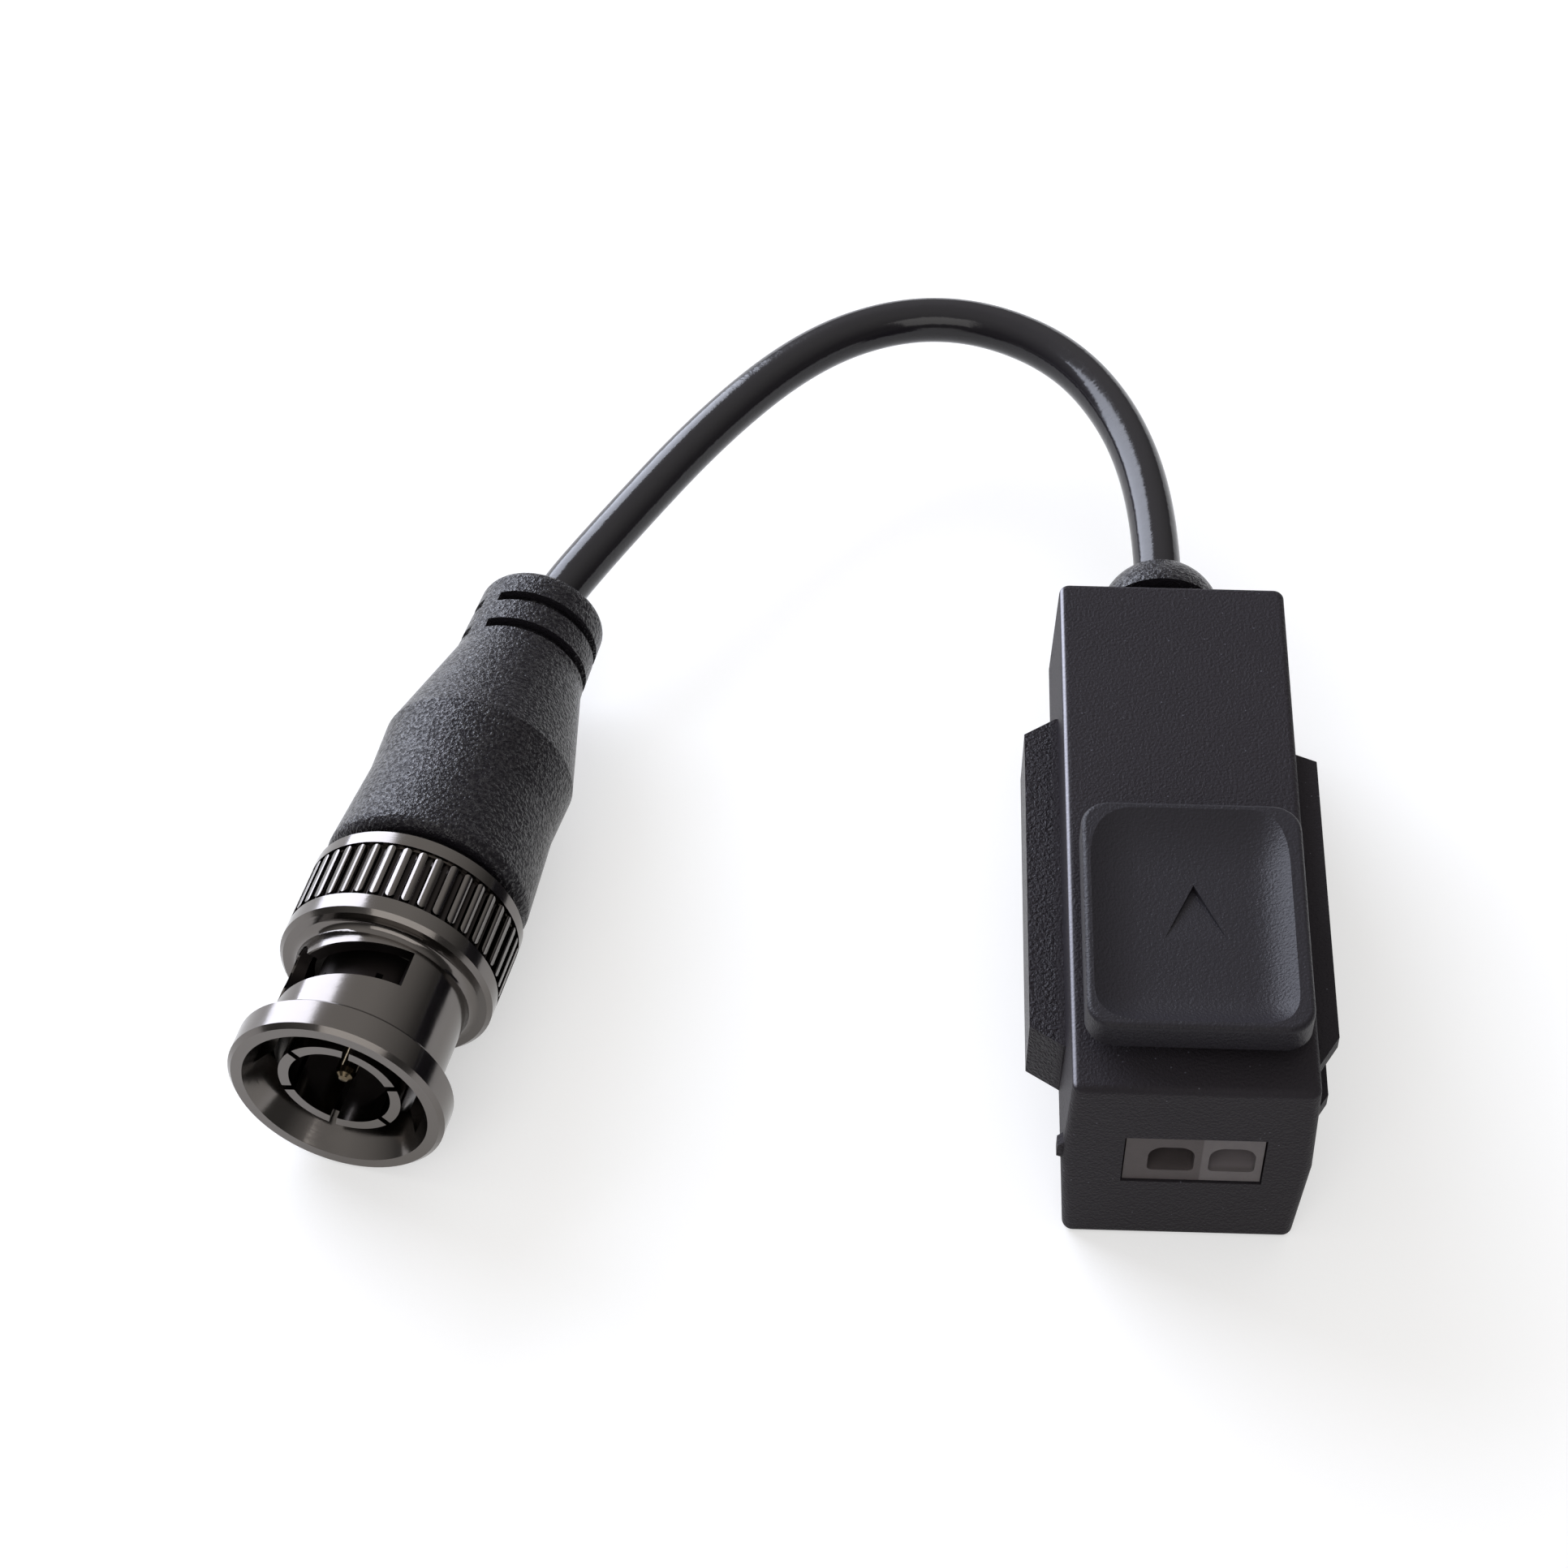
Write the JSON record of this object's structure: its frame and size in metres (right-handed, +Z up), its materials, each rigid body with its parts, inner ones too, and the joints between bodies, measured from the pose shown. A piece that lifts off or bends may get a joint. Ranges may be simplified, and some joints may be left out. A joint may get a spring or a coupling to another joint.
{
  "type": "video balun",
  "caption": "Slim moulded video balun with push-in wire terminals under a sprung push pad, on a short coaxial tail with a bayonet video plug.",
  "frame": {"origin": "middle of the housing's underside, without the cable and what is on it", "axes": "+Z up, +Y from the wire terminals to the cable exit, +X to the right seen from the terminals"},
  "size_m": [0.0699, 0.0767, 0.0186],
  "materials": {
    "black_case": "fine spark-eroded grain, nearly black",
    "black_pad": "smooth satin, nearly black",
    "grey_terminal": "satin light grey",
    "spring_steel": "bright rolled strip",
    "tinned_contact": "bright tin over copper alloy",
    "board": "green solder mask",
    "ferrite": "dull sintered grey-black",
    "copper_wire": "enamelled copper",
    "chip_body": "moulded black",
    "chip_ceramic": "fired ceramic, tan",
    "rubber_grommet": "coarse moulded grain",
    "cable_jacket": "smooth, semi-gloss",
    "boot_rubber": "coarse moulded grain",
    "nickel": "bright nickel plate",
    "gold_pin": "thin gold plate",
    "insulator_black": "plain black",
    "gasket_rubber": "plain dark rubber",
    "lead_insulation": "natural polyethylene"
  },
  "bodies": {
    "housing": {"upper_shell": "black_case", "lower_shell": "black_case", "terminal_module_left": "grey_terminal", "terminal_module_right": "grey_terminal", "terminal_end_cap": "grey_terminal", "contact_bar_left": "tinned_contact", "contact_bar_right": "tinned_contact", "clamp_spring_left": "spring_steel", "clamp_spring_right": "spring_steel", "circuit_board": "board", "ferrite_core": "ferrite", "winding_left": "copper_wire", "winding_right": "copper_wire", "surge_diode": "chip_body", "chip_capacitor": "chip_ceramic", "chip_resistor": "chip_body", "cable_grommet": "rubber_grommet", "signal_lead": "lead_insulation", "shield_lead": "tinned_contact", "coax_cable": "cable_jacket", "plug_boot": "boot_rubber", "crimp_ferrule": "nickel", "plug_body": "nickel", "insulator": "insulator_black", "centre_pin": "gold_pin", "plug_gasket": "gasket_rubber", "spring_washer": "spring_steel", "retaining_ring": "spring_steel"},
    "button": {"push_button": "black_pad"},
    "nut": {"coupling_nut": "nickel"}
  },
  "joints": [
    {"name": "pad_press", "type": "slide", "parent": "housing", "child": "button", "axis": [0, 0, -1], "range_m": [0, 0.001], "stiffness_N_per_m": 900, "deforming": ["clamp_spring_left", "clamp_spring_right"]},
    {"name": "nut_turn", "type": "hinge", "parent": "housing", "child": "nut", "pos_m": [-0.05362, -0.01764, 0.00725], "axis": [0.2394, 0.9709, 0], "continuous": true}
  ]
}
